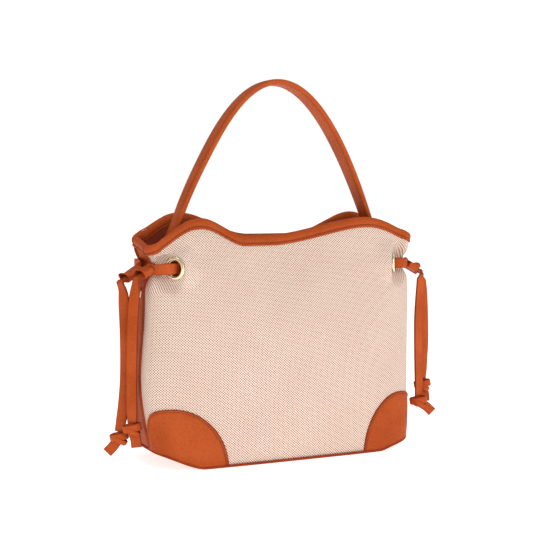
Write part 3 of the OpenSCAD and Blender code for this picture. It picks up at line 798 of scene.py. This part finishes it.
for word in ("left", "right"):
    s = SIGN[word]
    p, uv = gusset_grid(s, 0.0, WALL_START, 0.0)
    inner, _ = gusset_grid(s, -1.4, WALL_START, 0.0)
    side_sheet = slab(word + "_side", p, inner, uv=uv)
    finish_piece(side_sheet, LEATHER, "root", [word + "_gusset"])
    p, uv = gusset_grid(s, LINING_OUT, LINING_START, 0.5)
    inner, _ = gusset_grid(s, LINING_IN, LINING_START, 0.5)
    side_cloth = slab(word + "_side_cloth", p, inner, uv=uv)
    finish_piece(side_cloth, LINING, "root", [word + "_lining"])

# ---------------------------------------------------------------- rim and end bindings

# Folded section of the binding as (out from the canvas, height from the rim), round the strip
BINDING = np.array([
    (0.2, -8.7), (0.7, -8.95), (1.35, -8.8), (1.75, -8.2), (1.75, -7.5), (1.45, -6.9), (1.0, -6.5),
    (1.0, -6.1), (1.5, -5.6), (1.95, -4.8), (2.2, -3.6), (2.2, -2.2), (1.9, -0.8), (1.2, 0.5),
    (0.1, 1.25), (-1.2, 1.5), (-2.6, 1.3), (-3.7, 0.6), (-4.4, -0.5), (-4.7, -1.8), (-4.75, -3.2),
    (-4.6, -4.8), (-4.3, -5.9), (-4.0, -6.3), (-4.3, -6.9), (-4.55, -7.8), (-4.35, -8.6),
    (-3.8, -8.9), (-3.25, -8.7), (-3.2, -7.0), (-3.2, -4.0), (-3.2, -0.6), (-2.6, 0.1), (-1.5, 0.2),
    (-0.4, 0.1), (0.15, -0.6), (0.15, -4.0), (0.15, -7.0)])
STITCH_H = -6.3
# Dark tone on the binding: its sealed cut lower edges, and painted shade along the stitched groove
EDGE_AND_GROOVE_SHADE = np.clip(0.35 * bell(BINDING[:, 1] + 8.9, 0.6) + 0.9 * bell(BINDING[:, 1] - STITCH_H, 0.4), 0, 1)


def binding_rings(place, arc, puff=0.16):
    """Rings of the binding's section; the leather puffs up a little between its stitches."""
    wave = np.cos(2 * PI * arc / STITCH_PITCH)[:, None]
    near = bell(BINDING[None, :, 1] - STITCH_H, 1.6) * np.sign(BINDING[None, :, 0] + 1.5)
    d = BINDING[None, :, 0] + puff * wave * near
    return place(d, np.broadcast_to(BINDING[None, :, 1], d.shape))


for side, word in ((1, "front"), (-1, "back")):
    phis = np.linspace(0, PI, 361)
    top = top_at(side, phis)
    arc = arc_length(wall(phis, top, 0.0, side))
    rings = binding_rings(lambda d, h: wall(phis[:, None], top[:, None] + h, d, side), arc)
    binding = loft(word + "_binding", rings, edge=np.broadcast_to(EDGE_AND_GROOVE_SHADE, rings.shape[:2]))
    finish_piece(binding, LEATHER, "root", [word + "_rim_binding"])
    for d, tag in ((1.15, "outer"), (-4.1, "inner")):
        line = wall(phis, top + STITCH_H, d, side)
        out = unit(wall(phis, top + STITCH_H, d + np.sign(d), side) - line)
        row = stitches(f"{word}_rim_stitches_{tag}", line[4:-4], out[4:-4])
        finish_piece(row, THREAD, "root")


def end_point(s, t, z, d):
    """A point of the short side's rim strip; t runs -1 to 1 across the gusset."""
    y = t * (gusset_y(z) - 0.3)
    x = half_w(z) + d - gusset_dent(y * 0.97, z, s) * 0.9
    return slump(np.stack(np.broadcast_arrays(s * x, y, z), -1))


for word in ("left", "right"):
    s = SIGN[word]
    t = np.linspace(1, -1, 49)
    arc = t * 12
    crown = 0.25 * (1 - t**2)
    rings = binding_rings(lambda d, h: end_point(s, t[:, None], END_H + h, d + crown[:, None]), arc)
    strip = loft(word + "_binding", rings, edge=np.broadcast_to(EDGE_AND_GROOVE_SHADE, rings.shape[:2]))
    finish_piece(strip, LEATHER, "root", [word + "_rim_binding"])
    line = end_point(s, t, END_H + STITCH_H, 1.3 + crown)
    row = stitches(word + "_end_stitches", line[3:-3], np.array([s, 0, 0.0]))
    finish_piece(row, THREAD, "root")

# ---------------------------------------------------------------- corner patches

PATCH_H, PATCH_X, PATCH_REACH, STITCH_IN = 58.0, 122.0, 48.5, 2.3
LOW_PHIS = np.linspace(0, PI / 2, 400)
LOW_ARC = arc_length(wall(LOW_PHIS, np.full(400, 25.0), 0.0, 1, still=True))


def phi_at(x):
    n = squareness(FOOT_Z)
    a = np.minimum(0.999, x / half_w(FOOT_Z))
    return np.arctan2((1 - a**n) ** (1 / n), a)


def patch_outline(count=160):
    """The patch's free edge as (arc, height) on the unrolled wall, from the seam round to the base."""
    seam_q = 0.94
    a = np.linspace(-np.arcsin(seam_q), PI / 2, count)
    q = np.sin(a)
    peak = phi_at(PATCH_X)
    phi = np.where(q < 0, peak * (1 + q / seam_q), phi_at(PATCH_X - PATCH_REACH * np.maximum(q, 0)))
    return np.stack([np.interp(phi, LOW_PHIS, LOW_ARC), PATCH_H * np.sqrt(np.maximum(0, 1 - q * q))], -1)


def edge_profile(dist):
    """Thickness of the patch at a distance from its free edge: a rounded lip, then a stitched groove."""
    lip = np.sqrt(np.clip(1 - (1 - np.clip(dist / 1.0, 0, 1)) ** 2, 0, 1))
    roll, groove = 0.3 * bell(dist - 1.1, 0.8), 0.35 * bell(dist - STITCH_IN, 0.7)
    return lip * (TRIM_T + roll - groove + 0.25 * ease((dist - 4) / 12))


def corner_patch(side, s):
    edge = patch_outline()
    base_arc = np.interp(phi_at(92.0), LOW_PHIS, LOW_ARC)
    foot = np.stack([np.linspace(0, 1, len(edge)) ** 1.15 * base_arc, np.zeros(len(edge))], -1)
    t = np.concatenate([np.linspace(0, 0.86, 30), np.linspace(0.88, 1, 22)])[None, :, None]
    flat = foot[:, None] * (1 - t) + edge[:, None] * t
    dist = np.linalg.norm(flat[:, :, None] - resample(edge, 0.5)[None, None], axis=-1).min(-1)
    phi = np.interp(flat[..., 0], LOW_ARC, LOW_PHIS)
    low = bottom_at(phi) + 0.4
    z = np.maximum(flat[..., 1], low + 0.02 * flat[..., 1])
    high = ease((12 - (z - low)) / 12)
    d = 0.15 + edge_profile(dist)
    swell = 0.35 * ease((z - low) / 10) * ease((dist - 3) / 8)
    phi = phi if s > 0 else PI - phi
    outer, inner = wall(phi, z, d + swell, side), wall(phi, z, 0.12, side)
    # Dark tone on the patch: its sealed free edge, painted shade in the stitched groove, and a little darker
    # towards the base
    darker = 0.9 * bell(dist, 0.9) + 0.75 * bell(dist - STITCH_IN, 0.5) + 0.12 * high
    word = f"{'front' if side > 0 else 'back'}_{'right' if s > 0 else 'left'}"
    piece = slab(word + "_leather_patch", outer, inner, edge=np.clip(darker, 0, 1))
    finish_piece(piece, LEATHER, "root", [word + "_patch"])
    # Stitches follow the free edge
    across = unit(np.gradient(edge, axis=0))
    inward = np.stack([across[:, 1], -across[:, 0]], -1)
    inward *= np.sign((inward * (np.array([edge[:, 0].mean(), 20.0]) - edge)).sum(-1, keepdims=True))
    line = edge + STITCH_IN * inward
    line = line[(line[:, 0] > 1.5) & (line[:, 1] > 4)]
    ph = np.interp(line[:, 0], LOW_ARC, LOW_PHIS)
    low = bottom_at(ph) + 3
    zz = np.maximum(line[:, 1], low)
    ph = ph if s > 0 else PI - ph
    at = wall(ph, zz, 0.15 + edge_profile(np.full(len(ph), STITCH_IN)) + 0.12, side)
    out = unit(wall(ph, zz, 3.0, side) - wall(ph, zz, 0.0, side))
    row = stitches(word + "_patch_stitches", at, out)
    finish_piece(row, THREAD, "root")


for side in (1, -1):
    for s in (-1, 1):
        corner_patch(side, s)

# ---------------------------------------------------------------- seams and base


def round_cord(name, path, radius, flat=1.0, closed=False, edge=None, lean=(0.3, 0.2, 1.0)):
    a = np.arange(12) * PI / 6
    section = np.stack([radius * np.cos(a), radius * flat * np.sin(a)], -1)
    return loft(name, strap_rings(path, np.array(lean), section), closed=closed, edge=edge)


for word in ("left", "right"):
    s = SIGN[word]
    parts = []
    for k in (-1, 1):
        z = np.linspace(SIDE_LIFT + 2.2, END_H - BINDING_H + 0.6, 160)
        line = np.stack([s * (half_w(z) + 0.25), k * (gusset_y(z) + 0.1), z], -1)
        parts.append(round_cord(f"{word}_piping_{k}", slump(line), 1.45, 1.0))
        parts.append(stitches(f"{word}_piping_thread_{k}", slump(line + np.array([s * 1.4, -k * 0.8, 0])),
                              np.array([s, -0.5 * k, 0.0])))
    piping = join(word + "_side_piping", parts)
    finish_piece(piping, PIPING, "root", [word + "_seam_piping"])

loop = pattern_wall(PHIS, WALL_START, 1.15, 1, still=True)
loop[:, 2] = lift(base_x(PHIS)) + 1.3
ring = slump(np.vstack([loop, (loop * [1, -1, 1])[::-1]]))
ring_path = resample(np.vstack([ring, ring[:1]]), 2.5)[:-1]
a = np.arange(12) * PI / 6
t = unit(np.roll(ring_path, -1, 0) - np.roll(ring_path, 1, 0))
outward = unit(np.cross(t, [0, 0, 1.0]))
rise = np.cross(t, outward)
welt_rings = ring_path[:, None] + 1.25 * (outward[:, None] * np.cos(a)[None, :, None]
                                           + rise[:, None] * np.sin(a)[None, :, None])
welt = loft("base_welt", welt_rings, closed=True, edge=0.4)
finish_piece(welt, PIPING, "root", ["base_piping"])


def base_sheet(name, inset, z0, z1, material, cad, rows=41):
    phis = np.linspace(0, PI, 121)
    edge = pattern_wall(phis, WALL_START, -inset, 1, still=True)
    t = np.linspace(1, -1, rows)
    p = np.stack(np.broadcast_arrays(edge[:, None, 0], edge[:, None, 1] * t[None, :],
                                     lift(base_x(phis))[:, None]), -1).astype(float)
    uv = p.reshape(-1, 3)[:, :2]
    inner, outer = slump(p + [0, 0, z1]), slump(p + [0, 0, z0])
    return finish_piece(slab(name, inner, outer, uv=uv), material, "root", [cad])


base_sheet("base_leather", 0.6, 0.0, 1.8, LEATHER, "base_panel")
base_sheet("floor_cloth", 4.4, 4.9, 5.8, LINING, "floor_lining")

# Slip pocket on the back lining, with a hemmed top edge
POCKET_LOW, POCKET_TOP, POCKET_HEM, HEM_ROWS = 70.0, 165.0, 9.5, 7
HEM_OUT = LINING_IN - 1.9
pocket_phis = np.linspace(deg(60), deg(120), 61)
p, uv = wall_grid(-1, LINING_IN - 0.5, 61, low=POCKET_LOW, high=POCKET_TOP, phis=pocket_phis)
q, _ = wall_grid(-1, LINING_IN - 1.3, 61, low=POCKET_LOW, high=POCKET_TOP, phis=pocket_phis)
hem = np.linspace(POCKET_TOP - POCKET_HEM, POCKET_TOP, HEM_ROWS)
q[:, -HEM_ROWS:] = wall(pocket_phis[:, None], hem[None, :], HEM_OUT, -1)
pocket = slab("inner_pocket", p, q, uv=uv)
finish_piece(pocket, LINING, "root", ["slip_pocket"])
line = wall(pocket_phis, np.full(61, POCKET_TOP - POCKET_HEM + 1.5), HEM_OUT, -1)
row = stitches("inner_pocket_stitches", line, np.array([0, -1.0, 0]))
finish_piece(row, THREAD, "root")

# ---------------------------------------------------------------- handle

HANDLE_TOP, ARCH_DROP, ARCH_END = 368.6, 0.0127, 104.0
STRAP_W, STRAP_END_W, STRAP_T, SEAM_IN = 24.0, 18.0, 5.5, 2.4
half = [[x, 0, HANDLE_TOP - ARCH_DROP * x * x] for x in np.linspace(0, ARCH_END, 15)]
half += [[x, 0, z] for x, z in ((111, 215.5), (118, 199), (124.5, 186), (131, 176), (135, 170.3),
                                (135.6, 168.8), (135.6, 150))]
half = np.array(half, float)
handle_path = resample(np.vstack([half[:0:-1] * [-1, 1, 1], half]), 2.0)
kernel = np.ones(5) / 5
for axis in (0, 2):
    handle_path[2:-2, axis] = np.convolve(handle_path[:, axis], kernel, "valid")
z = handle_path[:, 2]
# The arch leans a little to the left
handle_path[:, 0] -= 2.2 * ease((310 - z) / 70) * ease((z - 185) / 25) * (handle_path[:, 0] < 0)
broad = STRAP_END_W + (STRAP_W - STRAP_END_W) * ease((z - 200) / 120)
thick = 2 * (1.9 + (STRAP_T / 2 - 1.9) * ease((z - 172) / 20))


def handle_section(t, w):
    """Padded strap of half width w: crowned outside, flatter inside, with a creased seam along each edge."""
    pts = []
    for a in np.linspace(0, 2 * PI, 56, endpoint=False):
        c, s_ = np.cos(a), np.sin(a)
        x = w * np.sign(c) * np.abs(c) ** 0.42
        y = t / 2 * np.sign(s_) * np.abs(s_) ** 0.55
        seam = 0.35 * bell(np.abs(x) - (w - SEAM_IN), 0.55) * (1 if y > 0 else 0.8)
        pts.append((x, y * (1 + 0.10 * (1 - (x / w) ** 2)) - np.sign(y) * seam))
    return np.array(pts)


sections = np.array([handle_section(t, w / 2) for t, w in zip(thick, broad)])
rings = strap_rings(handle_path, np.array([0, 1.0, 0]), sections)
# Painted shade along the creased seam line on each face of the strap
seam_shade = 0.55 * bell(np.abs(sections[..., 0]) - (broad[:, None] / 2 - SEAM_IN), 0.6)
grip = loft("top_handle", rings, edge=seam_shade)
# Holes for the rivets at both ends
b = bmesh.new()
bmesh.ops.create_cone(b, cap_ends=True, segments=24, radius1=RIVET_R * MM, radius2=RIVET_R * MM, depth=0.4)
to_x = Vector((0, 0, 1)).rotation_difference(Vector((1, 0, 0))).to_matrix()
bmesh.ops.rotate(b, verts=b.verts, cent=(0, 0, 0), matrix=to_x)
bmesh.ops.translate(b, verts=b.verts, vec=(0, 0, RIVET_Z * MM))
holes = piece_from("rivet_cutter", b)


def apply_modifiers(piece):
    graph = bpy.context.evaluated_depsgraph_get()
    graph.update()
    made = bpy.data.meshes.new_from_object(piece.evaluated_get(graph))
    piece.modifiers.clear()
    piece.data = made
    return piece


add_modifier(grip, "BOOLEAN", operation="DIFFERENCE", solver="EXACT", object=holes)
apply_modifiers(grip)
bpy.data.objects.remove(holes)
finish_piece(grip, LEATHER, "handle", ["handle_strap", "handle_core"])

# ---------------------------------------------------------------- laces and keepers

LACE_OUT, LACE_DIR = eyelet_at(1), eyelet_dir(1)


def through_eyelet(k, away):
    p = LACE_OUT + away * LACE_DIR
    return [p[0], -k * p[1], p[2]]


FRONT_RUN = [[105, 0, 188], [105.5, -8, 188], [107.5, -15, 188], through_eyelet(-1, -7),
             through_eyelet(-1, -2), through_eyelet(-1, 3.5), [128.5, -33, 188], [135, -27.5, 187],
             [138, -21.5, 187.6]]
BACK_RUN = [[105.5, 8, 188], [107.5, 15, 188], through_eyelet(1, -7), through_eyelet(1, -2),
            through_eyelet(1, 3.5), [129, 34.5, 189], [137, 29, 190], [140.6, 20, 190.5], [140.6, 9, 190.4]]


def run_in(word, k):
    """The lace's way into a channel as points and width directions, from behind the keeper to its middle."""
    back = -KEEPER_LEN - own_reach(k)
    steps = ((back - 4.5, 90), (back - 3, 60), (back - 1.5, 20), (back - 0.5, 0), (back / 2, 0))
    return [np.append(in_channel(word, k, a), np.cos(deg(turn)) * KEEPER_WIDE + [0, 0, np.sin(deg(turn))])
            for a, turn in steps]


for word in ("left", "right"):
    middle = [np.array([*p, 0, 0, 1.0]) for p in FRONT_RUN[::-1] + BACK_RUN]
    both = smooth_path(run_in(word, -1)[::-1] + middle + run_in(word, 1), 1.5)
    path, turn = both[:, :3] * FLIP[word], unit(both[:, 3:] * FLIP[word])
    sec = round_rect(LACE_W, LACE_T, 0.9, 5)
    edge_and_shade_mask = np.tile(section_edge(sec), (len(path), 1))
    lace = loft(word + "_draw_lace", strap_rings(path, turn, sec), edge=edge_and_shade_mask)
    finish_piece(lace, LACE, "root", [word + "_lace"])


def keeper_points(word, section, flare):
    """A tube along the keeper: the back channel reaches further out, and the upper lips open at the mouth."""
    up = np.cross(KEEPER_DIR, KEEPER_WIDE)
    end = BACK_MORE * ease((section[:, 0] - 3) / 12)
    rows = []
    for t in np.linspace(0, 1, 18):
        away = KEEPER_BACK + t * (end - KEEPER_BACK)
        open_ = ease((away - end + 6) / 6) * (section[:, 1] > 0)
        y = section[:, 1] * (1 + flare * open_)
        rows.append(MOUTH[word] + away[:, None] * KEEPER_DIR + section[:, :1] * KEEPER_WIDE + y[:, None] * up)
    return np.array(rows) * FLIP[word]


def keeper_section(steps=96):
    """Outline of a keeper folded from one strip: two loops side by side, pinched between them."""
    a = np.linspace(0, 2 * PI, steps, endpoint=False)
    c, s_ = np.cos(a), np.sin(a)
    x = CHANNEL_GAP / 2 * (1 + 1.87 * np.sign(c) * np.abs(c) ** 0.8)
    y = 3.9 * np.sign(s_) * np.abs(s_) ** 0.4 * (1 - 0.5 * bell(x - CHANNEL_GAP / 2, 2.4))
    return np.stack([x, y], -1)


def slot_section(k, steps=40):
    a = np.linspace(0, 2 * PI, steps, endpoint=False)
    c, s_ = np.cos(a), np.sin(a)
    x = (CHANNEL_GAP if k > 0 else 0) + 6.1 * np.sign(c) * np.abs(c) ** 0.6
    return np.stack([x, 1.75 * np.sign(s_) * np.abs(s_) ** 0.6], -1)


def keeper(word):
    """The sliding keeper: one soft strip folded into two open loops."""
    b = bmesh.new()
    tone = b.verts.layers.float.new("edge")
    ends = ([], [])
    # The slots inside the keeper take the full dark edge tone as painted shade; the outer loops are only a
    # little darker
    for section, flare, dark in ((keeper_section(), 0.8, 0.12), (slot_section(-1), 2.2, 1.0),
                                 (slot_section(1), 2.4, 1.0)):
        block = keeper_points(word, section, flare)
        m, n, _ = block.shape
        vs = [b.verts.new(p * MM) for p in block.reshape(-1, 3)]
        for v in vs:
            v[tone] = dark
        for f in grid_faces(m, n, wrap_n=True):
            b.faces.new([vs[i] for i in f])
        for end, ring in zip(ends, (vs[:n], vs[(m - 1) * n:])):
            end += [b.edges.get((v, ring[(i + 1) % n])) for i, v in enumerate(ring)]
    for edges in ends:
        bmesh.ops.triangle_fill(b, use_beauty=True, use_dissolve=False, edges=edges)
    bmesh.ops.recalc_face_normals(b, faces=b.faces)
    piece = piece_from(word + "_lace_keeper", b)
    piece.data.shade_smooth()
    add_modifier(piece, "BEVEL", width=0.4 * MM, segments=3, limit_method="ANGLE", angle_limit=deg(50))
    finish_piece(piece, LACE, word + "_keeper", [word + "_keeper"])


for word in ("left", "right"):
    keeper(word)

# ---------------------------------------------------------------- finish of the CAD hardware

for name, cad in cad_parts.items():
    if cad.hide_render:
        continue
    material = LEATHER if "anchor" in name else BOARD if name == "base_board" else BRASS
    if cad.data.materials:
        for i in range(len(cad.data.materials)):
            cad.data.materials[i] = material
    else:
        cad.data.materials.append(material)

# ---------------------------------------------------------------- floor and light

SKY_LEVEL = 0.5

b = bmesh.new()
bmesh.ops.create_circle(b, cap_ends=True, segments=96, radius=14)
floor = piece_from("floor", b)
floor.location.z = cad_low.z - 0.0002
pale, tree, bsdf = shader("pale_floor")
bsdf.inputs["Base Color"].default_value = (0.93, 0.93, 0.93, 1)
bsdf.inputs["Roughness"].default_value = 0.9
bsdf.inputs["Emission Color"].default_value = (1, 1, 1, 1)
bsdf.inputs["Emission Strength"].default_value = 0.75
floor.data.materials.append(pale)

world = bpy.data.worlds.new("studio")
bpy.context.scene.world = world
world.use_nodes = True
# A white backdrop that lights the bag less than it shows
sky = world.node_tree
seen = node(sky, "ShaderNodeLightPath").outputs["Is Camera Ray"]
level = math(sky, "MULTIPLY_ADD", seen, 1.0 - SKY_LEVEL, SKY_LEVEL)
sky.nodes["Background"].inputs[0].default_value = (1, 1, 1, 1)
sky.links.new(level, sky.nodes["Background"].inputs[1])


def softbox(name, at, size, power, target=(0, 0, 0.15)):
    light = bpy.data.objects.new(name, bpy.data.lights.new(name, "AREA"))
    light.data.shape = "RECTANGLE"
    light.data.size, light.data.size_y = size
    light.data.energy = power
    light.location = at
    aim = Vector(target) - Vector(at)
    light.rotation_euler = aim.to_track_quat("-Z", "Y").to_euler()
    bpy.context.scene.collection.objects.link(light)


softbox("key", (-0.35, -2.2, 1.3), (0.9, 0.9), 9.5)
softbox("fill", (1.0, -2.0, 0.8), (1.2, 1.2), 7)
softbox("top", (0.0, 0.2, 1.9), (1.2, 0.8), 5)
